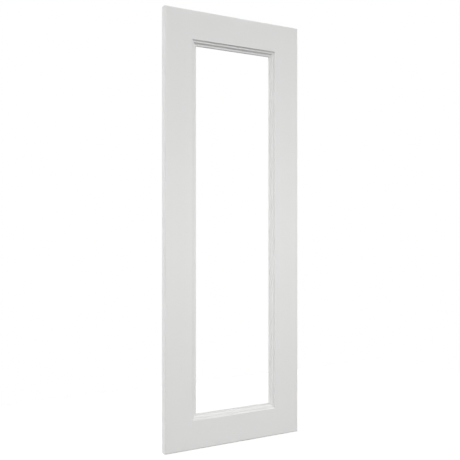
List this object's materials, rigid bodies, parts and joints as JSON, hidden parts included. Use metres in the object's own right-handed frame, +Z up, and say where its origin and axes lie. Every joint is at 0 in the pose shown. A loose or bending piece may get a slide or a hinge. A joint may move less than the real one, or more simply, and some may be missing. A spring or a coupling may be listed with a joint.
{
  "type": "kitchen cabinet door",
  "caption": "Tall narrow framed cabinet door, painted white, with a moulded edge round an open pane opening.",
  "frame": {"origin": "centre of the door: half its width, half its thickness and half its height", "axes": "the moulded front face looks along -Y and the back along +Y, +X is right seen from the front, and +Z is up, along the stiles"},
  "size_m": [0.378, 0.019, 1.064],
  "materials": {
    "white_paint": "satin white paint, sprayed",
    "beech": "bare fluted beech"
  },
  "bodies": {
    "root": {"left_stile": "white_paint", "right_stile": "white_paint", "top_rail": "white_paint", "bottom_rail": "white_paint", "dowel_bottom_left_outer": "beech", "dowel_bottom_left_inner": "beech", "dowel_top_left_outer": "beech", "dowel_top_left_inner": "beech", "dowel_bottom_right_outer": "beech", "dowel_bottom_right_inner": "beech", "dowel_top_right_outer": "beech", "dowel_top_right_inner": "beech"}
  },
  "joints": []
}
